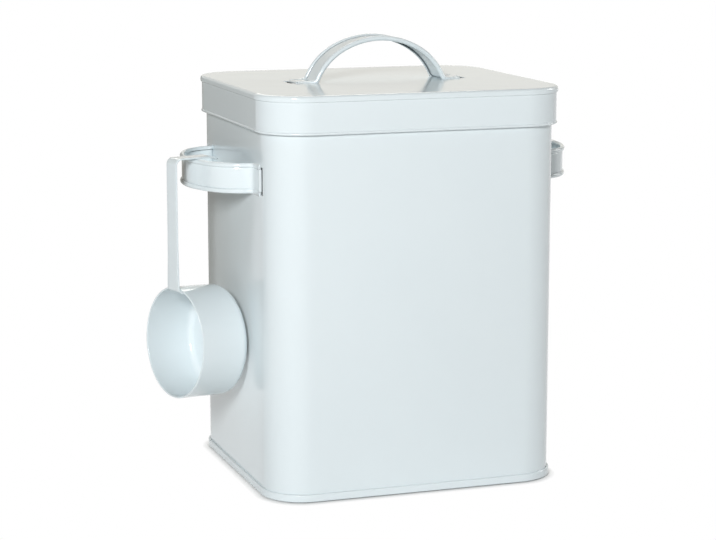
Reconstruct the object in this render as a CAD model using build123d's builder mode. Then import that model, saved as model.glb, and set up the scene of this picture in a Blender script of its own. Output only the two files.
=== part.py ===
from build123d import *
from math import cos, radians, sin, sqrt
import os

# Storage canister: a square sheet-metal tin with a slip lid, three strap handles and a hanging scoop.
# Millimetres, +Z up. The origin is the middle of the footprint on the resting plane, -Y is the front,
# and the scoop hangs on the handle of the -X wall.

# The tin
body_width = 200
body_depth = 182
corner_radius = 27
sheet = 0.6
fit_gap = 0.1
lid_top = 264
rim_radius = 0.9
rim_offset = 0.5
lid_play = 0.3
lock_seam_width = 6
lock_seam_height = 0.7

# The seam round the base
seam_height = 5
seam_reach = 1.4
seam_inset = 1.6
seam_round = 0.7
seam_fold = 1.2
base_recess = 3.2

# The lid
skirt_gap = 2.4
skirt_bottom = 239
hem_radius = 0.9
bead_height = 4.3
bead_reach = 0.9
bead_inset = 0.6
bead_top_round = 2
bead_lower_round = 0.8
skirt_fold = 2.2

# The strap handles
strap_sheet = 0.8
roll_radius = 1.6
roll_mouth = 0.9
top_turn = 30
foot_edge = 0.8
slit_width = 5
slit_length = 18
tab_width = 16
tab_length = 9
fold_radius = 0.725
lid_strap_width = 26
lid_foot_width = 21
lid_handle_span = 44.5
lid_handle_rise = 30.3
lid_handle_lean = 66
lid_foot_bend = 3
lid_slit_place = 60.3
side_strap_width = 20
side_foot_width = 22.4
side_handle_span = 47.5
side_handle_rise = 34.5
side_handle_lean = 80
side_foot_bend = 5
side_slit_place = 65
side_handle_height = 207.5

# The scoop
cup_diameter = 74
cup_depth = 35.7
cup_sheet = 1.2
cup_base_round = 5.5
cup_rim_round = 0.5
cup_height = 96.1
cup_turn = 16.5
cup_tilt = 2.5
scoop_out = 147.2
scoop_forward = 19.5
scoop_strap_width = 12
scoop_strap_sheet = 1
strap_stand_off = 1.5
weld_bend = 2
weld_length = 13
hook_bend = 4
tongue_length = 22.5
hook_play = 0.3
hook_tip_length = 5.6
hook_tip_turn = 20
hook_tip_round = 4

# Levels and offsets that follow
skirt_reach = skirt_gap + sheet
panel_under = lid_top - sheet
bead_bottom = lid_top - bead_height
rim_middle = panel_under - lid_play - rim_radius
lid_plane = Plane.XY.offset(lid_top)


def footprint(grow, mode=Mode.ADD):
    """The tin's rounded outline, grown outwards all round."""
    RectangleRounded(body_width + 2 * grow, body_depth + 2 * grow, corner_radius + grow, mode=mode)


def band(inner, outer):
    """The strip between two such outlines."""
    footprint(outer)
    footprint(inner, mode=Mode.SUBTRACT)


def rolled_edge(grow, level, radius):
    """A round roll that follows the outline at a level."""
    with BuildSketch(Plane.XY.offset(level), mode=Mode.PRIVATE) as outline:
        footprint(grow)
    path = outline.sketch.face().outer_wire()
    with BuildSketch(Plane(path @ 0, z_dir=path % 0), mode=Mode.PRIVATE) as roll:
        Circle(radius)
    sweep(sections=roll.sketch, path=path)


def slits(place):
    """A pair of slits for a handle's tabs."""
    with Locations((-place, 0), (place, 0)):
        Rectangle(slit_width, slit_length)


def arch_radii(span, drop, lean):
    """The crown and shoulder radii of an arch that leaves its face at the lean angle."""
    crown_out = sin(radians(top_turn))
    crown_down = 1 - cos(radians(top_turn))
    shoulder_out = sin(radians(lean)) - crown_out
    shoulder_down = cos(radians(top_turn)) - cos(radians(lean))
    scale = crown_out * shoulder_down - crown_down * shoulder_out
    crown = (span * shoulder_down - drop * shoulder_out) / scale
    shoulder = (drop * crown_out - span * crown_down) / scale
    return crown, shoulder


def strap_handle(face, strap_width, foot_width, span, rise, lean, foot_bend, slit_place):
    """A strap with rolled edges on a face, whose x runs along the strap and z points outwards."""
    side = Plane(face.origin, x_dir=face.x_dir, z_dir=-face.y_dir)
    foot_level = strap_sheet / 2
    crest = rise - roll_radius
    leg_level = foot_level + foot_bend * (1 - cos(radians(lean)))
    crown, shoulder = arch_radii(span, crest - leg_level, lean)
    fold_start = slit_place - slit_width / 2
    roll_place = strap_width / 2 - roll_radius
    foot_place = foot_width / 2 - foot_edge
    ankle_width = min(strap_width, 2 * foot_place)
    hem_length = fold_start - span - foot_bend * sin(radians(lean))
    mouth_place = roll_place - roll_radius / 2

    with BuildPart() as handle:
        # The arch, one section with a web and an open roll along each edge
        with BuildLine(side, mode=Mode.PRIVATE) as arch:
            rising = (cos(radians(lean)), sin(radians(lean)))
            left = JernArc((-span, leg_level), rising, shoulder, top_turn - lean)
            top = JernArc(left @ 1, left % 1, crown, -2 * top_turn)
            JernArc(top @ 1, top % 1, shoulder, top_turn - lean)
        path = arch.wire()
        with BuildSketch(Plane(path @ 0, x_dir=face.y_dir, z_dir=path % 0)):
            with Locations((-roll_place, 0), (roll_place, 0)):
                Circle(roll_radius)
                Circle(roll_radius - strap_sheet, mode=Mode.SUBTRACT)
            Rectangle(2 * (roll_place - roll_radius) + strap_sheet, strap_sheet)
            with Locations((-mouth_place, -roll_radius), (mouth_place, -roll_radius)):
                Rectangle(roll_mouth, 2 * roll_radius - strap_sheet, mode=Mode.SUBTRACT)
        sweep(path=path)

        for end in (-1, 1):
            # The foot, and the tab folded back behind the sheet
            with BuildLine(side, mode=Mode.PRIVATE) as ankle:
                down = (end * cos(radians(lean)), -sin(radians(lean)))
                bend = JernArc((end * span, leg_level), down, foot_bend, end * lean)
            with BuildLine(side, mode=Mode.PRIVATE) as sole:
                Line(bend @ 1, (end * fold_start, foot_level))
            with BuildLine(side, mode=Mode.PRIVATE) as tab:
                fold = JernArc((end * fold_start, foot_level), (end, 0), fold_radius, -180 * end)
                Line(fold @ 1, fold @ 1 + (fold % 1) * tab_length)
            for piece, width in ((ankle, ankle_width), (sole, 2 * foot_place), (tab, tab_width)):
                path = piece.wire()
                with BuildSketch(Plane(path @ 0, x_dir=face.y_dir, z_dir=path % 0)):
                    Rectangle(width, strap_sheet)
                sweep(path=path)
            # The rolls run out into pressed hems along the foot
            for edge in (-1, 1):
                roll_end = bend @ 0 + face.y_dir * (edge * roll_place)
                hem_end = bend @ 1 + face.y_dir * (edge * foot_place) + face.z_dir * (foot_edge - foot_level)
                hem_plane = Plane(hem_end, x_dir=face.y_dir, z_dir=bend % 1)
                with BuildSketch(Plane(roll_end, x_dir=face.y_dir, z_dir=bend % 0)):
                    Circle(roll_radius)
                with BuildSketch(hem_plane):
                    Circle(foot_edge)
                loft()
                with BuildSketch(hem_plane):
                    Circle(foot_edge)
                extrude(amount=hem_length)
    return handle.part


# Body wall: one sheet bent round the outline, its rim rolled outwards, its ends locked at the back
with BuildPart() as body_wall:
    with BuildSketch(Plane.XY.offset(seam_fold)):
        band(-sheet, 0)
    extrude(amount=rim_middle - seam_fold)
    rolled_edge(rim_offset, rim_middle, rim_radius)
    with BuildSketch(Plane.XY.offset(seam_height)):
        with Locations((0, (body_depth + lock_seam_height) / 2)):
            Rectangle(lock_seam_width, lock_seam_height)
    extrude(amount=rim_middle - seam_height)
    with BuildSketch(Plane.YZ.offset(-body_width)):
        with Locations((0, side_handle_height)):
            slits(side_slit_place)
    extrude(amount=2 * body_width, mode=Mode.SUBTRACT)

# Base pan: a recessed panel with a folded seam that grips the wall's lower edge
with BuildPart() as base_pan:
    with BuildSketch():
        band(-seam_inset, seam_reach)
    extrude(amount=seam_height)
    fillet(base_pan.edges().group_by(Axis.Z)[0], seam_round)
    outer_top = base_pan.faces().group_by(Axis.Z)[-1].face().outer_wire().edges()
    fillet(outer_top, seam_round)
    with BuildSketch(Plane.XY.offset(seam_fold)):
        band(-sheet - fit_gap, fit_gap)
    extrude(amount=seam_height, mode=Mode.SUBTRACT)
    with BuildSketch(Plane.XY.offset(base_recess)):
        footprint(-seam_inset)
    extrude(amount=sheet)

# Lid panel: a flat sheet with a round seam bead that grips the skirt's upper edge
with BuildPart() as lid_panel:
    with BuildSketch(Plane.XY.offset(bead_bottom)):
        footprint(skirt_reach + bead_reach)
    extrude(amount=bead_height)
    fillet(lid_panel.edges().group_by(Axis.Z)[-1], bead_top_round)
    fillet(lid_panel.edges().group_by(Axis.Z)[0], bead_lower_round)
    with BuildSketch(Plane.XY.offset(bead_bottom)):
        footprint(skirt_gap - bead_inset)
    extrude(amount=bead_height - sheet, mode=Mode.SUBTRACT)
    with BuildSketch(Plane.XY.offset(bead_bottom)):
        band(skirt_gap - fit_gap, skirt_reach + fit_gap)
    extrude(amount=skirt_fold, mode=Mode.SUBTRACT)
    with BuildSketch(Plane.XY.offset(panel_under)):
        slits(lid_slit_place)
    extrude(amount=sheet, mode=Mode.SUBTRACT)

# Lid skirt: a band round the rim with a rolled hem
with BuildPart() as lid_skirt:
    with BuildSketch(Plane.XY.offset(skirt_bottom + hem_radius)):
        band(skirt_gap, skirt_reach)
    extrude(amount=bead_bottom + skirt_fold - skirt_bottom - hem_radius)
    rolled_edge(skirt_reach - sheet / 2, skirt_bottom + hem_radius, hem_radius)

# Strap handles: one across the lid, one on each side wall
lid_arch = (lid_handle_span, lid_handle_rise, lid_handle_lean, lid_foot_bend, lid_slit_place)
lid_handle = strap_handle(lid_plane, lid_strap_width, lid_foot_width, *lid_arch)
left_wall = Plane((-body_width / 2, 0, side_handle_height), x_dir=(0, -1, 0), z_dir=(-1, 0, 0))
right_wall = Plane((body_width / 2, 0, side_handle_height), x_dir=(0, 1, 0), z_dir=(1, 0, 0))
side_arch = (side_handle_span, side_handle_rise, side_handle_lean, side_foot_bend, side_slit_place)
left_side_handle = strap_handle(left_wall, side_strap_width, side_foot_width, *side_arch)
right_side_handle = strap_handle(right_wall, side_strap_width, side_foot_width, *side_arch)

# The scoop's own plane: its origin is the middle of the cup's mouth, x points away from the tin and y is up.
# The cup hangs with its mouth tilted a little upwards in that plane.
out_dir = Vector(-cos(radians(cup_turn)), -sin(radians(cup_turn)), 0)
mouth_middle = Vector(-scoop_out, -scoop_forward, cup_height)
scoop_plane = Plane(mouth_middle, x_dir=out_dir, z_dir=out_dir.cross(Vector(0, 0, 1)))
mouth_dir = out_dir * cos(radians(cup_tilt)) + Vector(0, 0, sin(radians(cup_tilt)))
cup_plane = Plane(mouth_middle, x_dir=mouth_dir, z_dir=scoop_plane.z_dir)
cup_radius = cup_diameter / 2
cup_inside = cup_radius - cup_sheet
mouth_axis = Axis(mouth_middle, mouth_dir)

# Scoop cup: a drawn cup with a rounded base edge and rim
with BuildPart() as scoop_cup:
    with BuildSketch(cup_plane):
        Rectangle(cup_depth, cup_radius, align=(Align.MAX, Align.MIN))
        Rectangle(cup_depth - cup_sheet, cup_inside, align=(Align.MAX, Align.MIN), mode=Mode.SUBTRACT)
    revolve(axis=mouth_axis)
    rounds = scoop_cup.edges().filter_by(GeomType.CIRCLE).sort_by(mouth_axis)
    fillet(rounds[0], cup_base_round)
    fillet(rounds[1], cup_base_round - cup_sheet)
    fillet(rounds[2:], cup_rim_round)

# Scoop handle: a flat strap, welded inside the top of the cup, rising past the rim to a hook
weld_level = sqrt(cup_inside**2 - (scoop_strap_width / 2) ** 2) - scoop_strap_sheet / 2
hook_level = side_handle_height + side_strap_width / 2 + hook_play + scoop_strap_sheet / 2 - cup_height
with BuildPart() as scoop_handle:
    weld_start = Vector(-weld_length, weld_level).rotate(Axis.Z, cup_tilt)
    weld_end = Vector(strap_stand_off - weld_bend, weld_level).rotate(Axis.Z, cup_tilt)
    with BuildLine(scoop_plane, mode=Mode.PRIVATE) as strap:
        weld = Line(tuple(weld_start), tuple(weld_end))
        turn_up = JernArc(weld @ 1, weld % 1, weld_bend, 90 - cup_tilt)
        rise = hook_level - hook_bend - scoop_plane.to_local_coords(turn_up @ 1).Y
        riser = Line(turn_up @ 1, turn_up @ 1 + (turn_up % 1) * rise)
        turn_in = JernArc(riser @ 1, riser % 1, hook_bend, 90)
        tongue = Line(turn_in @ 1, turn_in @ 1 + (turn_in % 1) * tongue_length)
        dip = JernArc(tongue @ 1, tongue % 1, hook_bend, hook_tip_turn)
        Line(dip @ 1, dip @ 1 + (dip % 1) * hook_tip_length)
    path = strap.wire()
    with BuildSketch(Plane(path @ 0, x_dir=scoop_plane.z_dir, z_dir=path % 0)):
        Rectangle(scoop_strap_width, scoop_strap_sheet)
    sweep(path=path)
    # The welded end is pressed to the curve of the cup
    weld_seat = mouth_middle - mouth_dir * weld_length
    with BuildSketch(Plane(weld_seat, x_dir=-scoop_plane.z_dir, z_dir=mouth_dir)):
        Circle(cup_inside)
        with Locations((0, weld_level - scoop_strap_sheet / 2)):
            Rectangle(scoop_strap_width, cup_radius, align=(Align.CENTER, Align.MIN), mode=Mode.INTERSECT)
    extrude(amount=weld_length + strap_stand_off - weld_bend)
    tip = scoop_handle.faces().sort_by(mouth_axis)[0]
    fillet(tip.edges().sort_by(SortBy.LENGTH)[:2], hook_tip_round)

# Write each piece under its own name
pieces = {
    "body_wall": body_wall.part,
    "base_pan": base_pan.part,
    "left_side_handle": left_side_handle,
    "right_side_handle": right_side_handle,
    "lid_panel": lid_panel.part,
    "lid_skirt": lid_skirt.part,
    "lid_handle": lid_handle,
    "scoop_cup": scoop_cup.part,
    "scoop_handle": scoop_handle.part,
}
os.makedirs("parts", exist_ok=True)
for name, piece in pieces.items():
    piece.label = name
    export_step(piece, f"parts/{name}.step")
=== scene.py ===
"""Looks of a pale blue enamelled storage canister with a slip lid, strap handles and a hanging scoop."""

import math

import bmesh
import bpy
from mathutils import Matrix, Vector


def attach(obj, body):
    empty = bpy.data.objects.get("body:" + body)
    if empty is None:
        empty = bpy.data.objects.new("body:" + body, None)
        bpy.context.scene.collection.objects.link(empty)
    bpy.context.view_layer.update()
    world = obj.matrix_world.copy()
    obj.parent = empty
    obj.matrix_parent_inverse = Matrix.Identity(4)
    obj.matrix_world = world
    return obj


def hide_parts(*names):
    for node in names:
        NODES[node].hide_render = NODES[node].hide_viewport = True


bl_info = {
    "name": "Storage canister",
    "version": (1, 0, 0),
    "blender": (4, 5, 0),
    "location": "3D View > Sidebar > Canister",
    "description": "Models and enamels a sheet-metal storage canister and sets it in a plain studio",
    "category": "Object",
}

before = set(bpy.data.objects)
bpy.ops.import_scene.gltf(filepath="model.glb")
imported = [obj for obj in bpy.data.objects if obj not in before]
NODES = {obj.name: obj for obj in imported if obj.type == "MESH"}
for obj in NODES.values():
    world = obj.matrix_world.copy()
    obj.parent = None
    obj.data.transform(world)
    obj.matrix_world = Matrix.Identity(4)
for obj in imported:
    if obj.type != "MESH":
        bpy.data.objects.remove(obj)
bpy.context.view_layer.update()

IMAGE_WIDTH = 716
SENSOR_WIDTH = 36.0
QUARTER = math.radians(90)
SMOOTH_ANGLE = math.radians(38)
NEAR = 1e-5
SAME_RING = NEAR / 5
WELD = NEAR / 10
PARALLEL = 0.999
FACING = 0.9


class TinProperties(bpy.types.PropertyGroup):
    """The tin's wall."""

    width: bpy.props.FloatProperty(name="Width", description="Width of the tin", unit="LENGTH", default=0.2)
    depth: bpy.props.FloatProperty(
        name="Depth", description="Depth of the tin, front to back", unit="LENGTH", default=0.182)
    corner_radius: bpy.props.FloatProperty(
        name="Corner radius", description="Radius of the upright corners", unit="LENGTH", default=0.027)
    sheet: bpy.props.FloatProperty(
        name="Sheet", description="Thickness of the sheet", unit="LENGTH", default=0.0006)
    bottom: bpy.props.FloatProperty(
        name="Lower edge", description="Level of the wall's lower edge, inside the seam", unit="LENGTH",
        default=0.0012)
    rim_level: bpy.props.FloatProperty(
        name="Rim level", description="Level of the rim roll's middle", unit="LENGTH", default=0.2622)
    rim_radius: bpy.props.FloatProperty(
        name="Rim radius", description="Radius of the rolled rim", unit="LENGTH", default=0.0009)
    rim_offset: bpy.props.FloatProperty(
        name="Rim offset", description="How far the rim roll stands out", unit="LENGTH", default=0.0005)
    bulge: bpy.props.FloatProperty(
        name="Bulge", description="How far the panels swell in the middle", unit="LENGTH", default=0.0022)
    seam_width: bpy.props.FloatProperty(
        name="Seam width", description="Width of the lock seam at the back", unit="LENGTH", default=0.006)
    seam_height: bpy.props.FloatProperty(
        name="Seam height", description="How far the lock seam stands out", unit="LENGTH", default=0.0007)
    seam_bottom: bpy.props.FloatProperty(
        name="Seam bottom", description="Level where the lock seam starts", unit="LENGTH", default=0.0055)
    slit_width: bpy.props.FloatProperty(
        name="Slit width", description="Width of a handle's slit", unit="LENGTH", default=0.005)
    slit_length: bpy.props.FloatProperty(
        name="Slit length", description="Length of a handle's slit", unit="LENGTH", default=0.018)
    slit_place: bpy.props.FloatProperty(
        name="Slit place", description="Distance of a slit from the middle of its wall", unit="LENGTH",
        default=0.065)
    slit_level: bpy.props.FloatProperty(
        name="Slit level", description="Level of the side handles", unit="LENGTH", default=0.2075)


class HandleProperties(bpy.types.PropertyGroup):
    """The strap handles with their rolled edges."""

    side_width: bpy.props.FloatProperty(
        name="Side width", description="Width of a side handle over its rolled edges", unit="LENGTH",
        default=0.02)
    lid_width: bpy.props.FloatProperty(
        name="Lid width", description="Width of the lid handle over its rolled edges", unit="LENGTH",
        default=0.026)
    sheet: bpy.props.FloatProperty(
        name="Sheet", description="Thickness of a strap's sheet", unit="LENGTH", default=0.0008)
    roll_radius: bpy.props.FloatProperty(
        name="Roll radius", description="Outer radius of a rolled edge", unit="LENGTH", default=0.0016)
    roll_turn: bpy.props.FloatProperty(
        name="Roll turn", description="How far an edge is rolled round", subtype="ANGLE",
        default=math.radians(300))
    hem_spread: bpy.props.FloatProperty(
        name="Hem spread", description="How much wider a roll gets where it is pressed flat", default=1.2)
    hem_press: bpy.props.FloatProperty(
        name="Hem press", description="Share of its height that a roll keeps where it is pressed flat",
        default=0.36)
    press_run: bpy.props.FloatProperty(
        name="Press run", description="Share of a foot along which its roll is pressed flat", default=0.75)
    crown_turn: bpy.props.FloatProperty(
        name="Crown turn", description="Half the angle of the crown arc", subtype="ANGLE",
        default=math.radians(30))
    fold_radius: bpy.props.FloatProperty(
        name="Fold radius", description="Radius of the fold behind the sheet", unit="LENGTH",
        default=0.000725)
    tab_length: bpy.props.FloatProperty(
        name="Tab length", description="Length of the tab behind the sheet", unit="LENGTH", default=0.009)
    lid_level: bpy.props.FloatProperty(
        name="Lid level", description="Level of the lid's top", unit="LENGTH", default=0.264)
    lid_crown: bpy.props.FloatProperty(
        name="Lid crown", description="Radius of the lid handle's crown", unit="LENGTH", default=0.0543563)
    lid_shoulder: bpy.props.FloatProperty(
        name="Lid shoulder", description="Radius of the lid handle's shoulders", unit="LENGTH",
        default=0.0418862)
    lid_lean: bpy.props.FloatProperty(
        name="Lid lean", description="Angle of the lid handle's legs", subtype="ANGLE",
        default=math.radians(66))
    lid_bend: bpy.props.FloatProperty(
        name="Lid bend", description="Radius of the bends into the lid handle's feet", unit="LENGTH",
        default=0.003)
    lid_foot: bpy.props.FloatProperty(
        name="Lid foot", description="Length of the lid handle's feet", unit="LENGTH", default=0.0105594)
    side_crown: bpy.props.FloatProperty(
        name="Side crown", description="Radius of a side handle's crown", unit="LENGTH", default=0.068038)
    side_shoulder: bpy.props.FloatProperty(
        name="Side shoulder", description="Radius of a side handle's shoulders", unit="LENGTH",
        default=0.027807)
    side_lean: bpy.props.FloatProperty(
        name="Side lean", description="Angle of a side handle's legs", subtype="ANGLE",
        default=math.radians(80))
    side_bend: bpy.props.FloatProperty(
        name="Side bend", description="Radius of the bends into a side handle's feet", unit="LENGTH",
        default=0.005)
    side_foot: bpy.props.FloatProperty(
        name="Side foot", description="Length of a side handle's feet", unit="LENGTH", default=0.010076)


class ScoopProperties(bpy.types.PropertyGroup):
    """The scoop's strap and hook."""

    mouth: bpy.props.FloatVectorProperty(
        name="Mouth", description="Middle of the cup's mouth", subtype="TRANSLATION", unit="LENGTH",
        default=(-0.1472, -0.0195, 0.0961))
    turn: bpy.props.FloatProperty(
        name="Turn", description="Turn of the mouth towards the front", subtype="ANGLE",
        default=math.radians(16.5))
    tilt: bpy.props.FloatProperty(
        name="Tilt", description="Tilt of the mouth upwards", subtype="ANGLE", default=math.radians(2.5))
    width: bpy.props.FloatProperty(
        name="Width", description="Width of the strap", unit="LENGTH", default=0.012)
    foot_width: bpy.props.FloatProperty(
        name="Foot width", description="Width of the strap at the cup", unit="LENGTH", default=0.0145)
    sheet: bpy.props.FloatProperty(
        name="Sheet", description="Thickness of the strap", unit="LENGTH", default=0.001)
    edge_round: bpy.props.FloatProperty(
        name="Edge round", description="Radius of the strap's edges", unit="LENGTH", default=0.0003)
    weld_start: bpy.props.FloatVectorProperty(
        name="Weld start", description="Inner end of the welded tab, in the cup's own plane", size=2,
        unit="LENGTH", default=(-0.013, 0.034793))
    weld_length: bpy.props.FloatProperty(
        name="Weld length", description="Length of the welded tab", unit="LENGTH", default=0.0125)
    weld_bend: bpy.props.FloatProperty(
        name="Weld bend", description="Radius of the bend at the cup's rim", unit="LENGTH", default=0.002)
    cup_inside: bpy.props.FloatProperty(
        name="Cup inside", description="Inner radius of the cup", unit="LENGTH", default=0.0358)
    riser: bpy.props.FloatProperty(
        name="Riser", description="Length of the upright run", unit="LENGTH", default=0.081464)
    hook_bend: bpy.props.FloatProperty(
        name="Hook bend", description="Radius of the hook's bends", unit="LENGTH", default=0.004)
    tongue: bpy.props.FloatProperty(
        name="Tongue", description="Length of the run over the handle", unit="LENGTH", default=0.0225)
    tip_turn: bpy.props.FloatProperty(
        name="Tip turn", description="How far the tip dips", subtype="ANGLE", default=math.radians(20))
    tip_length: bpy.props.FloatProperty(
        name="Tip length", description="Length of the tip", unit="LENGTH", default=0.0056)
    tip_round: bpy.props.FloatProperty(
        name="Tip round", description="Radius of the tip's corners", unit="LENGTH", default=0.004)


class EnamelProperties(bpy.types.PropertyGroup):
    """The canister's sprayed enamel."""

    colour: bpy.props.FloatVectorProperty(
        name="Colour", description="Colour of the full coat", subtype="COLOR", size=3,
        min=0.0, max=1.0, default=(0.745, 0.815, 0.84))
    thin_colour: bpy.props.FloatVectorProperty(
        name="Thin colour", description="Colour where the coat is thinner", subtype="COLOR", size=3,
        min=0.0, max=1.0, default=(0.71, 0.785, 0.815))
    cloud_scale: bpy.props.FloatProperty(
        name="Cloud scale", description="Fineness of the broad mottling", default=14.0)
    cloud_share: bpy.props.FloatProperty(
        name="Cloud share", description="Share of the broad mottling; the rest is fine", default=0.7)
    smudge_scale: bpy.props.FloatProperty(
        name="Smudge scale", description="Fineness of the fine mottling", default=45.0)
    # Painted shade: in tight folds, ambient occlusion darkens the enamel towards this colour within the reach
    # below, in place of the shade that falls there.
    crease_shade_colour: bpy.props.FloatVectorProperty(
        name="Hollow colour", description="Colour in tight folds, which the spray hardly reaches",
        subtype="COLOR", size=3, min=0.0, max=1.0, default=(0.12, 0.15, 0.17))
    crease_shade_reach: bpy.props.FloatProperty(
        name="Hollow reach", description="Width of a fold that stays hollow", unit="LENGTH", default=0.0025)
    crease_shade_start: bpy.props.FloatProperty(
        name="Hollow start", description="Open share below which a fold darkens", default=0.7)
    crease_shade_fade: bpy.props.FloatProperty(
        name="Hollow fade", description="Fall in the open share that darkens a fold fully", default=0.45)
    roughness: bpy.props.FloatProperty(
        name="Roughness", description="Mean roughness of the coat", min=0.0, max=1.0, default=0.11)
    unevenness: bpy.props.FloatProperty(
        name="Unevenness", description="How much the roughness varies", min=0.0, max=1.0, default=0.06)
    coat: bpy.props.FloatProperty(
        name="Gloss coat", description="Weight of the clear gloss on top", min=0.0, max=1.0, default=0.05)
    coat_roughness: bpy.props.FloatProperty(
        name="Gloss roughness", description="Roughness of the clear gloss", min=0.0, max=1.0, default=0.05)
    ior: bpy.props.FloatProperty(
        name="IOR", description="Refractive index of the coat", min=1.0, max=3.0, default=1.5)
    peel_depth: bpy.props.FloatProperty(
        name="Orange peel", description="Height of the fine dimples", unit="LENGTH", default=0.000008)
    peel_scale: bpy.props.FloatProperty(
        name="Peel scale", description="Fineness of the dimples", default=520.0)
    wave_depth: bpy.props.FloatProperty(
        name="Sheet waves", description="Height of the sheet's long waves", unit="LENGTH", default=0.00025)
    wave_scale: bpy.props.FloatProperty(
        name="Wave scale", description="Fineness of the long waves", default=11.0)


class StudioProperties(bpy.types.PropertyGroup):
    """The floor, lamps and camera."""

    camera_place: bpy.props.FloatVectorProperty(
        name="Camera place", description="Where the camera stands", subtype="TRANSLATION", unit="LENGTH",
        default=(-0.48665, -1.37818, 0.39895))
    camera_turn: bpy.props.FloatProperty(
        name="Camera turn", description="Turn of the view to the right of +Y", subtype="ANGLE",
        default=math.radians(19.0))
    camera_dip: bpy.props.FloatProperty(
        name="Camera dip", description="How far the view looks down", subtype="ANGLE",
        default=math.radians(10.32))
    focal_pixels: bpy.props.FloatProperty(
        name="Focal length", description="Focal length in pixels of the image", default=2158.4)
    floor_radius: bpy.props.FloatProperty(
        name="Floor radius", description="Radius of the round floor", unit="LENGTH", default=4.0)
    floor_colour: bpy.props.FloatVectorProperty(
        name="Floor colour", description="Colour of the floor", subtype="COLOR", size=3,
        min=0.0, max=1.0, default=(0.95, 0.95, 0.94))
    floor_level: bpy.props.FloatProperty(
        name="Floor level", description="Level of the floor, just clear of the base", unit="LENGTH",
        default=-0.0008)
    shadow_reach: bpy.props.FloatProperty(
        name="Shadow reach", description="How far the shadow runs out on the floor", unit="LENGTH",
        default=0.006)
    gloss_colour: bpy.props.FloatVectorProperty(
        name="Gloss colour", description="Colour of the surroundings that the gloss reflects",
        subtype="COLOR", size=3, min=0.0, max=1.0, default=(1.0, 0.985, 0.93))
    card_place: bpy.props.FloatVectorProperty(
        name="Card place", description="Middle of the dark card behind the left wall", subtype="TRANSLATION",
        unit="LENGTH", default=(-0.154, 0.356, 0.15))
    card_size: bpy.props.FloatVectorProperty(
        name="Card size", description="Width and height of the card", size=2, unit="LENGTH",
        default=(0.2, 0.3))
    card_colour: bpy.props.FloatVectorProperty(
        name="Card colour", description="Colour of the card", subtype="COLOR", size=3,
        min=0.0, max=1.0, default=(0.35, 0.33, 0.29))
    lamp_aim: bpy.props.FloatVectorProperty(
        name="Lamp aim", description="Point in the tin that the lamps look at", subtype="TRANSLATION",
        unit="LENGTH", default=(0.0, 0.0, 0.13))
    ambient: bpy.props.FloatProperty(
        name="Ambient", description="Strength of the even light from all round", min=0.0, default=0.03)


class Socket:
    """A shader value that takes part in arithmetic: each expression adds its Math nodes."""

    def __init__(self, finish, output):
        self.finish = finish
        self.output = output

    def maths(self, operation, first, second):
        return self.finish.add("ShaderNodeMath", {"operation": operation}, {0: first, 1: second})

    def __add__(self, other):
        return self.maths("ADD", self, other)

    def __radd__(self, other):
        return self.maths("ADD", other, self)

    def __sub__(self, other):
        return self.maths("SUBTRACT", self, other)

    def __rsub__(self, other):
        return self.maths("SUBTRACT", other, self)

    def __mul__(self, other):
        return self.maths("MULTIPLY", self, other)

    def __rmul__(self, other):
        return self.maths("MULTIPLY", other, self)

    def __truediv__(self, other):
        return self.maths("DIVIDE", self, other)

    def __rtruediv__(self, other):
        return self.maths("DIVIDE", other, self)

    def most(self, other):
        return self.maths("MAXIMUM", self, other)

    def least(self, other):
        return self.maths("MINIMUM", self, other)


class Finish:
    """One node tree of a material or of the world, built node by node."""

    def __init__(self, tree):
        self.tree = tree
        tree.nodes.clear()

    def add(self, kind, settings=None, inputs=None, output=0):
        """Adds a node, sets it up, gives its sockets their values or links, and returns one output."""
        node = self.tree.nodes.new(kind)
        for name, value in (settings or {}).items():
            setattr(node, name, value)
        for key, value in (inputs or {}).items():
            if isinstance(value, Socket):
                self.tree.links.new(value.output, node.inputs[key])
            else:
                node.inputs[key].default_value = value
        return Socket(self, node.outputs[output]) if len(node.outputs) else None

    def blend(self, share, first, second):
        """Mixes two colours, each a socket or three numbers."""
        first, second = (
            colour if isinstance(colour, Socket) else (*colour, 1.0) for colour in (first, second))
        return self.add("ShaderNodeMix", {"data_type": "RGBA"}, {0: share, 6: first, 7: second}, output=2)

    def in_view(self):
        """Whether a ray comes from the camera, from gloss or through a clear piece."""
        camera, gloss, clear = (
            self.add("ShaderNodeLightPath", output=f"Is {kind} Ray")
            for kind in ("Camera", "Glossy", "Transmission"))
        return camera.most(gloss).most(clear)


def new_material(name):
    """An empty material and the Finish that fills it."""
    material = bpy.data.materials.new(name)
    material.use_nodes = True
    return material, Finish(material.node_tree)


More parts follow.
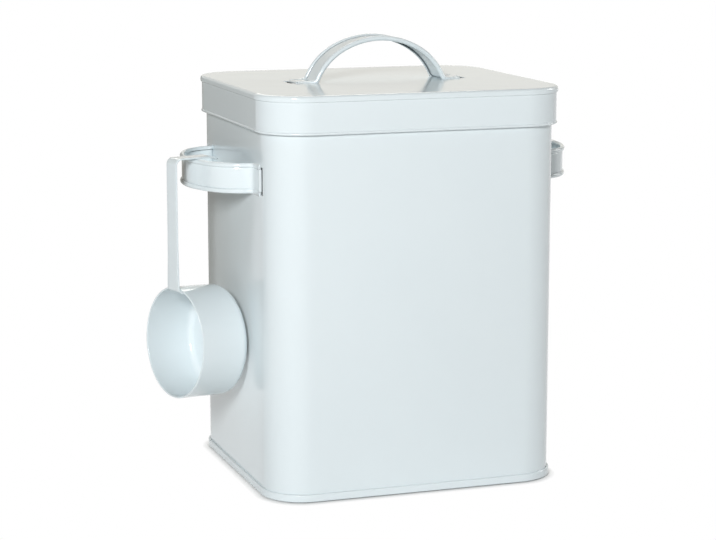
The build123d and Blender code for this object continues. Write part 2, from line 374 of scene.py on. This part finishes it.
def enamel(name, look):
    """Glossy sprayed enamel on sheet metal: mottled colour, painted shade in tight folds, orange peel and a
    slightly uneven gloss.
    """
    material, paint = new_material(name)
    place = paint.add("ShaderNodeTexCoord", output="Object")
    cloud = paint.add("ShaderNodeTexNoise", {}, {"Vector": place, "Scale": look.cloud_scale, "Detail": 4.0})
    smudge = paint.add("ShaderNodeTexNoise", {}, {"Vector": place, "Scale": look.smudge_scale, "Detail": 5.0})
    peel = paint.add("ShaderNodeTexNoise", {}, {"Vector": place, "Scale": look.peel_scale, "Detail": 2.0})
    wave = paint.add("ShaderNodeTexNoise", {}, {"Vector": place, "Scale": look.wave_scale, "Detail": 1.0})
    mottle = look.cloud_share * cloud + (1 - look.cloud_share) * smudge
    colour = paint.blend(mottle, look.colour, look.thin_colour)
    # Painted shade: ambient occlusion darkens the colour in tight folds and creases, where shade falls.
    open_share = paint.add(
        "ShaderNodeAmbientOcclusion", {"only_local": True}, {"Distance": look.crease_shade_reach}, output="AO")
    painted_crease_shade = ((look.crease_shade_start - open_share) / look.crease_shade_fade).most(0.0).least(1.0)
    colour = paint.blend(painted_crease_shade, colour, look.crease_shade_colour)
    gloss = look.roughness + look.unevenness * (smudge - 0.5)
    height = look.peel_depth * peel + look.wave_depth * wave
    bump = paint.add("ShaderNodeBump", {}, {"Height": height, "Distance": 1.0, "Strength": 1.0})
    shader = paint.add("ShaderNodeBsdfPrincipled", {}, {
        "Base Color": colour, "Roughness": gloss, "Normal": bump, "IOR": look.ior,
        "Coat Weight": look.coat, "Coat Roughness": look.coat_roughness,
    })
    paint.add("ShaderNodeOutputMaterial", {}, {"Surface": shader})
    return material


def dress(material, *names):
    """Gives CAD nodes a material in place of their plain one."""
    for name in names:
        NODES[name].data.materials.clear()
        NODES[name].data.materials.append(material)


def begin(name):
    """Takes the primitive just added as the start of a piece, with its place in its mesh, and edits it."""
    piece = bpy.context.object
    piece.name = name
    piece.data.name = name
    bpy.ops.object.transform_apply(location=True, rotation=True, scale=True)
    bpy.ops.object.mode_set(mode="EDIT")
    return piece


def pick(kind, test):
    """Selects those vertices, edges or faces of the edited piece that pass a test."""
    bpy.ops.mesh.select_mode(type=kind)
    bpy.ops.mesh.select_all(action="DESELECT")
    mesh = bpy.context.edit_object.data
    shape = bmesh.from_edit_mesh(mesh)
    for item in {"VERT": shape.verts, "EDGE": shape.edges, "FACE": shape.faces}[kind]:
        if test(item):
            item.select_set(True)
    shape.select_flush_mode()
    bmesh.update_edit_mesh(mesh)


def middle(item):
    """The middle of an edge or a face."""
    return sum((vertex.co for vertex in item.verts), Vector()) / len(item.verts)


def runs_along(edge, axis):
    """Whether an edge is parallel to a coordinate axis."""
    run = edge.verts[1].co - edge.verts[0].co
    return abs(run[axis]) > PARALLEL * run.length


def rings_along():
    """The places along x where the edited strip has its rings of vertices."""
    shape = bmesh.from_edit_mesh(bpy.context.edit_object.data)
    return sorted({round(vertex.co.x, 7) for vertex in shape.verts})


def modify(piece, kind, **settings):
    """Adds a modifier to the piece, sets it up and applies it."""
    bpy.ops.object.modifier_add(type=kind)
    modifier = piece.modifiers[-1]
    for name, value in settings.items():
        setattr(modifier, name, value)
    bpy.ops.object.modifier_apply(modifier=modifier.name)


def alone(piece):
    """Makes a piece the only selected object, and the active one."""
    bpy.ops.object.select_all(action="DESELECT")
    piece.select_set(True)
    bpy.context.view_layer.objects.active = piece


def remove(thing):
    """Deletes a helper object."""
    alone(thing)
    bpy.ops.object.delete()


def hang(piece, material, body, node):
    """Smooths and enamels a piece and lets it ride on its body in the place of a CAD node."""
    alone(piece)
    bpy.ops.object.shade_smooth_by_angle(angle=SMOOTH_ANGLE)
    piece.data.materials.append(material)
    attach(piece, body)
    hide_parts(node)


def heading(angle):
    """The unit vector of a heading in the XZ plane."""
    return Vector((math.cos(angle), 0, math.sin(angle)))


def bend_path(start, angle, moves):
    """A curve in the XZ plane from straight runs (length, 0) and arcs (radius, turn), and its length."""
    place = Vector((start[0], 0, start[1]))
    points = [place]
    handles = [place]
    length = 0.0
    for size, turn in moves:
        after = angle + turn
        if turn:
            # An arc, with handles as long as a cubic curve needs to follow a circle
            side = math.copysign(QUARTER, turn)
            end = place + size * (heading(angle + side) - heading(after + side))
            reach = 4 / 3 * math.tan(abs(turn) / 4) * size
            length += abs(turn) * size
        else:
            end = place + size * heading(angle)
            reach = size / 3
            length += size
        handles += [place + reach * heading(angle), end - reach * heading(after)]
        points.append(end)
        place, angle = end, after
    handles.append(place)
    bpy.ops.object.select_all(action="DESELECT")
    bpy.ops.curve.primitive_bezier_curve_add()
    path = bpy.context.object
    path.data.dimensions = "3D"
    path.data.twist_mode = "MINIMUM"
    path.data.resolution_u = 24
    knots = path.data.splines[0].bezier_points
    knots.add(len(points) - len(knots))
    for index, knot in enumerate(knots):
        knot.handle_left_type = knot.handle_right_type = "FREE"
        knot.co = points[index]
        knot.handle_left = handles[2 * index]
        knot.handle_right = handles[2 * index + 1]
    return path, length


def follow(piece, path):
    """Bends a straight strip along a path, which is then removed."""
    alone(piece)
    modify(piece, "CURVE", object=path, deform_axis="POS_X")
    remove(path)
    alone(piece)


def set_in_place(piece, matrix):
    """Moves a finished shape from its own frame to its place on the canister."""
    alone(piece)
    piece.matrix_world = matrix
    bpy.ops.object.transform_apply(location=True, rotation=True, scale=True)


class CANISTER_OT_tin(bpy.types.Operator):
    """Makes the tin's wall, bent round its corners from one swelling sheet, and enamels the base"""
    bl_idname = "canister.tin"
    bl_label = "Tin"

    def execute(self, context):
        tin = context.scene.canister_tin
        material = enamel("tin_enamel_coat", context.scene.canister_enamel)
        wall = self.bend_sheet(tin)
        self.swell_panels(wall, tin)
        rim = self.roll_rim(wall, tin)
        alone(wall)
        modify(wall, "SOLIDIFY", thickness=tin.sheet, offset=-1.0)
        self.cut_slits(wall, tin)
        self.lock_seam(wall, tin)
        alone(wall)
        rim.select_set(True)
        bpy.ops.object.join()
        hang(wall, material, "canister", "body_wall")
        dress(material, "base_pan")
        return {"FINISHED"}

    def bend_sheet(self, tin):
        """The four panels and round corners, divided finely enough to swell."""
        height = tin.rim_level - tin.bottom
        bpy.ops.object.select_all(action="DESELECT")
        bpy.ops.mesh.primitive_cube_add(
            size=1.0, location=(0, 0, tin.bottom + height / 2), scale=(tin.width, tin.depth, height))
        wall = begin("tin_wall")
        pick("FACE", lambda face: abs(face.normal.z) > FACING)
        bpy.ops.mesh.delete(type="FACE")
        pick("EDGE", lambda edge: runs_along(edge, 2))
        bpy.ops.mesh.bevel(offset=tin.corner_radius, segments=16, affect="EDGES")
        pick("EDGE", lambda edge: edge.calc_length() > tin.corner_radius and not runs_along(edge, 2))
        bpy.ops.mesh.subdivide(number_cuts=17)
        pick("EDGE", lambda edge: runs_along(edge, 2))
        bpy.ops.mesh.subdivide(number_cuts=25)
        bpy.ops.object.mode_set(mode="OBJECT")
        return wall

    def swell_panels(self, wall, tin):
        """Pushes each panel out towards its middle."""
        flat = (tin.width / 2 - tin.corner_radius, tin.depth / 2 - tin.corner_radius)
        half_height = (tin.rim_level - tin.bottom) / 2
        group = wall.vertex_groups.new(name="panel_bulge")
        for vertex in wall.data.vertices:
            along = 0 if abs(vertex.co.y) > tin.depth / 2 - NEAR else 1
            across = min(abs(vertex.co[along]) / flat[along], 1.0)
            level = (vertex.co.z - tin.bottom) / half_height - 1.0
            group.add([vertex.index], (1 - across**2) * (1 - level**2), "REPLACE")
        alone(wall)
        modify(wall, "DISPLACE", strength=tin.bulge, mid_level=0.0, vertex_group=group.name)

    def roll_rim(self, wall, tin):
        """The rolled rim, a round bead along the wall's upper edge."""
        bpy.ops.object.mode_set(mode="EDIT")
        pick("EDGE", lambda edge: middle(edge).z > tin.rim_level - NEAR)
        bpy.ops.mesh.duplicate()
        bpy.ops.mesh.separate(type="SELECTED")
        bpy.ops.object.mode_set(mode="OBJECT")
        rim = next(piece for piece in bpy.context.selected_objects if piece is not wall)
        alone(rim)
        grow = 2 * tin.rim_offset
        bpy.ops.transform.resize(
            value=((tin.width + grow) / tin.width, (tin.depth + grow) / tin.depth, 1),
            center_override=(0, 0, 0))
        bpy.ops.object.transform_apply(location=True, rotation=True, scale=True)
        bpy.ops.object.convert(target="CURVE")
        rim.data.bevel_depth = tin.rim_radius
        rim.data.bevel_resolution = 3
        bpy.ops.object.convert(target="MESH")
        return rim

    def cut_slits(self, wall, tin):
        """The slits in both side walls for the handles' tabs."""
        for side in (-1, 1):
            bpy.ops.object.select_all(action="DESELECT")
            bpy.ops.mesh.primitive_cube_add(
                size=1.0, location=(0, side * tin.slit_place, tin.slit_level),
                scale=(2 * tin.width, tin.slit_width, tin.slit_length))
            cutter = bpy.context.object
            alone(wall)
            modify(wall, "BOOLEAN", object=cutter, operation="DIFFERENCE", solver="EXACT")
            remove(cutter)

    def lock_seam(self, wall, tin):
        """The raised lock seam up the back."""
        alone(wall)
        bpy.ops.object.mode_set(mode="EDIT")

        def at_back(face):
            return middle(face).y > tin.depth / 2 - tin.sheet / 2 and face.normal.y > FACING

        cuts = [((side * tin.seam_width / 2, 0, 0), (1, 0, 0)) for side in (-1, 1)]
        cuts.append(((0, 0, tin.seam_bottom), (0, 0, 1)))
        for place, normal in cuts:
            pick("FACE", at_back)
            bpy.ops.mesh.bisect(plane_co=place, plane_no=normal)
        pick("FACE", lambda face: at_back(face) and abs(middle(face).x) < tin.seam_width / 2
             and middle(face).z > tin.seam_bottom)
        bpy.ops.mesh.extrude_region_shrink_fatten(TRANSFORM_OT_shrink_fatten={"value": tin.seam_height})
        bpy.ops.object.mode_set(mode="OBJECT")


class CANISTER_OT_lid(bpy.types.Operator):
    """Enamels the lid's panel and skirt"""
    bl_idname = "canister.lid"
    bl_label = "Lid"

    def execute(self, context):
        dress(enamel("lid_enamel_coat", context.scene.canister_enamel), "lid_panel", "lid_skirt")
        return {"FINISHED"}


class CANISTER_OT_handles(bpy.types.Operator):
    """Makes the three strap handles with rolled edges, pressed feet and tabs folded behind the sheet"""
    bl_idname = "canister.handles"
    bl_label = "Strap handles"

    def execute(self, context):
        strap = context.scene.canister_handles
        tin = context.scene.canister_tin
        material = enamel("handle_enamel_coat", context.scene.canister_enamel)
        lid_arch = (strap.lid_crown, strap.lid_shoulder, strap.lid_lean, strap.lid_bend, strap.lid_foot)
        side_arch = (strap.side_crown, strap.side_shoulder, strap.side_lean, strap.side_bend, strap.side_foot)
        lid = self.bend_strap("lid_strap", strap, strap.lid_width, *lid_arch)
        left = self.bend_strap("left_strap", strap, strap.side_width, *side_arch)
        alone(left)
        bpy.ops.object.duplicate()
        right = bpy.context.object
        right.name = "right_strap"
        right.data.name = "right_strap"
        set_in_place(lid, Matrix.Translation((0, 0, strap.lid_level)))
        upright = Matrix.Rotation(QUARTER, 4, "Z") @ Matrix.Rotation(QUARTER, 4, "X")
        outward = Matrix.Translation((tin.width / 2, 0, tin.slit_level))
        set_in_place(right, outward @ upright)
        set_in_place(left, Matrix.Rotation(2 * QUARTER, 4, "Z") @ outward @ upright)
        hang(lid, material, "lid", "lid_handle")
        hang(left, material, "canister", "left_side_handle")
        hang(right, material, "canister", "right_side_handle")
        return {"FINISHED"}

    def bend_strap(self, name, strap, width, crown, shoulder, lean, bend, foot):
        """One strap over a face at z = 0, made flat as a quarter, mirrored, and bent to its arch."""
        turn = strap.crown_turn
        fold = 2 * QUARTER * strap.fold_radius
        # Half the strap as runs of a length and a number of cuts: crown, shoulder, ankle, foot, fold and tab
        runs = [
            (crown * turn, 11), (shoulder * (lean - turn), 13), (bend * lean, 9), (foot, 7),
            (fold, 9), (strap.tab_length, 1),
        ]
        ankle = sum(length for length, _ in runs[:2])
        sole_end = sum(length for length, _ in runs[:4])
        half_web = width / 2 - 2 * strap.roll_radius + strap.sheet / 2
        piece = self.strip(name, half_web, runs)
        self.roll_edge(strap, half_web, sole_end)
        self.press_foot(strap, half_web, strap.side_width / width, ankle, sole_end)
        bpy.ops.object.mode_set(mode="OBJECT")
        modify(piece, "MIRROR", use_axis=(True, True, False), merge_threshold=NEAR)

        half = sum(length for length, _ in runs)
        moves = [
            (strap.tab_length, 0), (strap.fold_radius, -QUARTER), (strap.fold_radius, -QUARTER), (foot, 0),
            (bend, lean), (shoulder, turn - lean), (crown, -turn),
        ]
        reach = foot + bend * math.sin(lean)
        reach += shoulder * (math.sin(lean) - math.sin(turn)) + crown * math.sin(turn)
        level = strap.sheet / 2 - 2 * strap.fold_radius
        path, _ = bend_path((strap.tab_length - reach, level), 2 * QUARTER, moves + moves[::-1])
        alone(piece)
        bpy.ops.object.mode_set(mode="EDIT")
        bpy.ops.mesh.select_all(action="SELECT")
        bpy.ops.transform.translate(value=(half, 0, 0))
        bpy.ops.object.mode_set(mode="OBJECT")
        follow(piece, path)
        bpy.ops.object.mode_set(mode="EDIT")
        bpy.ops.mesh.select_all(action="SELECT")
        bpy.ops.mesh.remove_doubles(threshold=WELD)
        bpy.ops.mesh.normals_make_consistent(inside=False)
        bpy.ops.object.mode_set(mode="OBJECT")
        modify(piece, "SOLIDIFY", thickness=strap.sheet, offset=0.0)
        return piece

    def strip(self, name, half_web, runs):
        """A quarter of the flat web from the crown's middle outwards, divided along its runs."""
        first = runs[0][0]
        bpy.ops.object.select_all(action="DESELECT")
        bpy.ops.mesh.primitive_plane_add(size=1.0, location=(first / 2, half_web / 2, 0))
        bpy.context.object.scale = (first, half_web, 1)
        piece = begin(name)
        end = first
        for length, _ in runs[1:]:
            pick("EDGE", lambda edge: middle(edge).x > end - NEAR)
            bpy.ops.mesh.extrude_edges_move(TRANSFORM_OT_translate={"value": (length, 0, 0)})
            end += length
        start = 0.0
        for length, cuts in runs:
            pick("EDGE", lambda edge: runs_along(edge, 0) and start < middle(edge).x < start + length)
            bpy.ops.mesh.subdivide(number_cuts=cuts)
            start += length
        pick("EDGE", lambda edge: runs_along(edge, 1))
        bpy.ops.mesh.subdivide(number_cuts=2)
        return piece

    def roll_edge(self, strap, half_web, sole_end):
        """Rolls the long edge over as far as the foot's end, and softens the crease beside it."""
        centre = (0, half_web + strap.roll_radius - strap.sheet / 2, 0)
        pick("EDGE", lambda edge: runs_along(edge, 0) and middle(edge).y > half_web - NEAR
             and middle(edge).x < sole_end)
        bpy.ops.mesh.spin(steps=14, angle=-strap.roll_turn, center=centre, axis=(1, 0, 0))
        bpy.ops.mesh.select_all(action="SELECT")
        bpy.ops.mesh.remove_doubles(threshold=WELD)
        pick("EDGE", lambda edge: runs_along(edge, 0) and middle(edge).x < sole_end
             and abs(middle(edge).y - half_web) < NEAR and abs(middle(edge).z) < NEAR)
        bpy.ops.mesh.bevel(offset=strap.sheet / 3, segments=2, affect="EDGES")

    def press_foot(self, strap, half_web, narrowing, ankle, sole_end):
        """Presses the roll flat and draws the foot and its tab in from the ankle on, ring by ring."""
        drop = (strap.roll_radius - strap.sheet / 2) * strap.hem_press / (1 - strap.hem_press)
        for ring in rings_along():
            if ring <= ankle:
                continue
            share = min((ring - ankle) / (strap.press_run * (sole_end - ankle)), 1.0)
            ease = share**2 * (3 - 2 * share)
            if ring < sole_end + NEAR:
                pick("VERT", lambda vertex: abs(vertex.co.x - ring) < SAME_RING
                     and (vertex.co.y > half_web + strap.sheet / 2 or abs(vertex.co.z) > strap.sheet / 2))
                bpy.ops.transform.resize(
                    value=(1, 1 + ease * (strap.hem_spread - 1), 1 - ease * (1 - strap.hem_press)),
                    center_override=(ring, half_web, drop))
            pick("VERT", lambda vertex: abs(vertex.co.x - ring) < SAME_RING)
            bpy.ops.transform.resize(value=(1, 1 - ease * (1 - narrowing), 1), center_override=(ring, 0, 0))


class CANISTER_OT_scoop(bpy.types.Operator):
    """Makes the scoop's strap, welded in the cup and hooked at its top, and enamels the cup"""
    bl_idname = "canister.scoop"
    bl_label = "Scoop"

    def execute(self, context):
        scoop = context.scene.canister_scoop
        material = enamel("scoop_enamel_coat", context.scene.canister_enamel)
        strap = self.bend_strap(scoop)
        outward = Vector((-math.cos(scoop.turn), -math.sin(scoop.turn), 0))
        across = Vector((0, 0, 1)).cross(outward)
        matrix = Matrix((outward, across, (0, 0, 1))).transposed().to_4x4()
        set_in_place(strap, Matrix.Translation(scoop.mouth) @ matrix)
        hang(strap, material, "scoop", "scoop_handle")
        dress(material, "scoop_cup")
        return {"FINISHED"}

    def bend_strap(self, scoop):
        """The strap, made straight with a wide foot and a round tip, then bent along its path."""
        moves = [
            (scoop.weld_length, 0), (scoop.weld_bend, QUARTER - scoop.tilt), (scoop.riser, 0),
            (scoop.hook_bend, QUARTER), (scoop.tongue, 0), (scoop.hook_bend, scoop.tip_turn),
            (scoop.tip_length, 0),
        ]
        start = Vector(scoop.weld_start)
        start.rotate(Matrix.Rotation(scoop.tilt, 2))
        path, length = bend_path(start, scoop.tilt, moves)
        bpy.ops.object.select_all(action="DESELECT")
        bpy.ops.mesh.primitive_plane_add(size=1.0, location=(length / 2, 0, 0))
        bpy.context.object.scale = (length, scoop.width, 1)
        strap = begin("scoop_strap")
        pick("VERT", lambda vertex: vertex.co.x > length - NEAR)
        bpy.ops.mesh.bevel(offset=scoop.tip_round, segments=8, affect="VERTICES")
        # Cut across, finely in the bends, and then along
        at = 0.0
        for size, turn in moves[:-1]:
            run = abs(turn) * size if turn else size
            steps = 10 if turn else 4
            for _ in range(steps):
                at += run / steps
                bpy.ops.mesh.select_all(action="SELECT")
                bpy.ops.mesh.bisect(plane_co=(at, 0, 0), plane_no=(1, 0, 0))
        for place in (-0.25, 0.0, 0.25):
            bpy.ops.mesh.select_all(action="SELECT")
            bpy.ops.mesh.bisect(plane_co=(0, place * scoop.width, 0), plane_no=(0, 1, 0))
        self.shape_foot(scoop)
        bpy.ops.object.mode_set(mode="OBJECT")
        follow(strap, path)
        modify(strap, "SOLIDIFY", thickness=scoop.sheet, offset=0.0)
        modify(strap, "BEVEL", width=scoop.edge_round, segments=3, limit_method="ANGLE")
        return strap

    def shape_foot(self, scoop):
        """Widens the strap towards the cup and presses the welded tab to the cup's curve."""
        weld_end = scoop.weld_length
        taper_end = scoop.weld_length + QUARTER * scoop.weld_bend + scoop.riser / 2
        for ring in rings_along():
            if ring >= taper_end:
                continue
            share = min((taper_end - ring) / (taper_end - weld_end), 1.0)
            grow = 1 + share**2 * (scoop.foot_width / scoop.width - 1)
            pick("VERT", lambda vertex: abs(vertex.co.x - ring) < SAME_RING)
            bpy.ops.transform.resize(value=(1, grow, 1), center_override=(ring, 0, 0))
        for place in (0.25, 0.5):
            sag = (place * scoop.foot_width) ** 2 / (2 * scoop.cup_inside)
            pick("VERT", lambda vertex: vertex.co.x < weld_end + NEAR
                 and abs(abs(vertex.co.y) - place * scoop.foot_width) < NEAR)
            bpy.ops.transform.translate(value=(0, 0, -sag))


def pointed(direction):
    """The turn of a lamp or camera that looks along a direction."""
    return direction.to_track_quat("-Z", "Y").to_euler()


def add_lamp(name, aim, place, size, watts, colour):
    """A square soft lamp that looks at a point."""
    towards = Vector(aim) - Vector(place)
    bpy.ops.object.light_add(type="AREA", location=place, rotation=pointed(towards))
    lamp = bpy.context.object
    lamp.name = name
    lamp.data.shape = "SQUARE"
    lamp.data.size = size
    lamp.data.energy = watts
    lamp.data.color = colour


class CANISTER_OT_stage(bpy.types.Operator):
    """Makes the floor, the surroundings, the lamps and the camera"""
    bl_idname = "canister.stage"
    bl_label = "Stage"

    def execute(self, context):
        studio = context.scene.canister_studio
        bpy.ops.object.select_all(action="DESELECT")
        self.make_floor(studio, context.scene.canister_tin)
        self.make_card(studio)
        self.make_world(studio, context.scene)
        self.make_lamps(studio.lamp_aim)
        self.make_camera(studio, context.scene)
        context.scene.view_settings.view_transform = "Standard"
        return {"FINISHED"}

    def make_floor(self, studio, tin):
        """White paper that keeps the shadow close round the base, and is clear seen from below."""
        bpy.ops.mesh.primitive_circle_add(
            vertices=96, radius=studio.floor_radius, fill_type="NGON", location=(0, 0, studio.floor_level))
        floor = bpy.context.object
        floor.name = "floor"
        material, paint = new_material("floor_paper")
        place = paint.add("ShaderNodeTexCoord", output="Object")
        inner = (tin.width / 2 - tin.corner_radius, tin.depth / 2 - tin.corner_radius, 0)
        mirrored = paint.add("ShaderNodeVectorMath", {"operation": "ABSOLUTE"}, {0: place})
        beyond = paint.add("ShaderNodeVectorMath", {"operation": "SUBTRACT"}, {0: mirrored, 1: inner})
        beyond = paint.add("ShaderNodeVectorMath", {"operation": "MAXIMUM"}, {0: beyond, 1: (0, 0, 0)})
        far = paint.add("ShaderNodeVectorMath", {"operation": "LENGTH"}, {0: beyond}, output=1)
        fade = ((far - tin.corner_radius) / studio.shadow_reach).most(0.0).least(1.0)
        paper = paint.add("ShaderNodeBsdfDiffuse", {}, {"Color": (*studio.floor_colour, 1.0)})
        white = paint.add("ShaderNodeEmission", {}, {"Strength": 1.0})
        shader = paint.add("ShaderNodeMixShader", {}, {0: paint.in_view() * fade, 1: paper, 2: white})
        below = paint.add("ShaderNodeNewGeometry", output="Backfacing")
        clear = paint.add("ShaderNodeBsdfTransparent")
        shader = paint.add("ShaderNodeMixShader", {}, {0: below, 1: shader, 2: clear})
        paint.add("ShaderNodeOutputMaterial", {}, {"Surface": shader})
        floor.data.materials.append(material)

    def make_card(self, studio):
        """A dark card out of view, which only the gloss of the left wall sees."""
        towards = Vector((0, 0, studio.card_place[2])) - Vector(studio.card_place)
        bpy.ops.mesh.primitive_plane_add(size=1.0, location=studio.card_place, rotation=pointed(towards))
        card = bpy.context.object
        card.name = "card"
        card.scale = (*studio.card_size, 1)
        material, paint = new_material("card_grey")
        shader = paint.add("ShaderNodeEmission", {}, {"Color": (*studio.card_colour, 1.0), "Strength": 1.0})
        paint.add("ShaderNodeOutputMaterial", {}, {"Surface": shader})
        card.data.materials.append(material)
        card.visible_camera = False
        card.visible_diffuse = False
        card.visible_transmission = False
        card.visible_shadow = False

    def make_world(self, studio, scene):
        """Weak even light, white behind the object and warm in its gloss."""
        scene.world = bpy.data.worlds.new("studio")
        scene.world.use_nodes = True
        air = Finish(scene.world.node_tree)
        glossy = air.add("ShaderNodeLightPath", output="Is Glossy Ray")
        colour = air.blend(glossy, (1.0, 1.0, 1.0), studio.gloss_colour)
        light = studio.ambient + (1.0 - studio.ambient) * air.in_view()
        shader = air.add("ShaderNodeBackground", {}, {"Color": colour, "Strength": light})
        air.add("ShaderNodeOutputWorld", {}, {"Surface": shader})

    def make_lamps(self, aim):
        """A key on the left of the camera, and weaker lamps on the right and high at the back."""
        white, warm = (1.0, 1.0, 1.0), (1.0, 0.97, 0.9)
        add_lamp("key_lamp", aim, place=(-1.16, -1.93, 0.95), size=0.45, watts=45.0, colour=white)
        add_lamp("side_lamp", aim, place=(1.32, 0.0, 0.61), size=0.6, watts=5.2, colour=white)
        add_lamp("back_lamp", aim, place=(0.2, 1.17, 1.2), size=0.9, watts=8.0, colour=warm)

    def make_camera(self, studio, scene):
        """The camera, at the left of the front and a little above the tin."""
        turn, dip = studio.camera_turn, studio.camera_dip
        ahead = Vector((math.sin(turn) * math.cos(dip), math.cos(turn) * math.cos(dip), -math.sin(dip)))
        bpy.ops.object.camera_add(location=studio.camera_place, rotation=pointed(ahead))
        camera = bpy.context.object
        camera.name = "camera"
        camera.data.sensor_width = SENSOR_WIDTH
        camera.data.lens = studio.focal_pixels / IMAGE_WIDTH * SENSOR_WIDTH
        scene.camera = camera


class CANISTER_PT_panel(bpy.types.Panel):
    """Lists the canister's pieces and its stage"""
    bl_idname = "CANISTER_PT_panel"
    bl_label = "Canister"
    bl_space_type = "VIEW_3D"
    bl_region_type = "UI"
    bl_category = "Canister"

    def draw(self, context):
        for operator in OPERATORS:
            self.layout.operator(operator.bl_idname)


OPERATORS = (CANISTER_OT_tin, CANISTER_OT_lid, CANISTER_OT_handles, CANISTER_OT_scoop, CANISTER_OT_stage)
GROUPS = {
    "canister_tin": TinProperties, "canister_handles": HandleProperties, "canister_scoop": ScoopProperties,
    "canister_enamel": EnamelProperties, "canister_studio": StudioProperties,
}


def register():
    for group in GROUPS.values():
        bpy.utils.register_class(group)
    for name, group in GROUPS.items():
        setattr(bpy.types.Scene, name, bpy.props.PointerProperty(type=group))
    for operator in OPERATORS:
        bpy.utils.register_class(operator)
    bpy.utils.register_class(CANISTER_PT_panel)


def unregister():
    bpy.utils.unregister_class(CANISTER_PT_panel)
    for operator in reversed(OPERATORS):
        bpy.utils.unregister_class(operator)
    for name, group in GROUPS.items():
        delattr(bpy.types.Scene, name)
        bpy.utils.unregister_class(group)


def main():
    register()
    bpy.ops.canister.tin()
    bpy.ops.canister.lid()
    bpy.ops.canister.handles()
    bpy.ops.canister.scoop()
    bpy.ops.canister.stage()


if __name__ == "__main__":
    main()
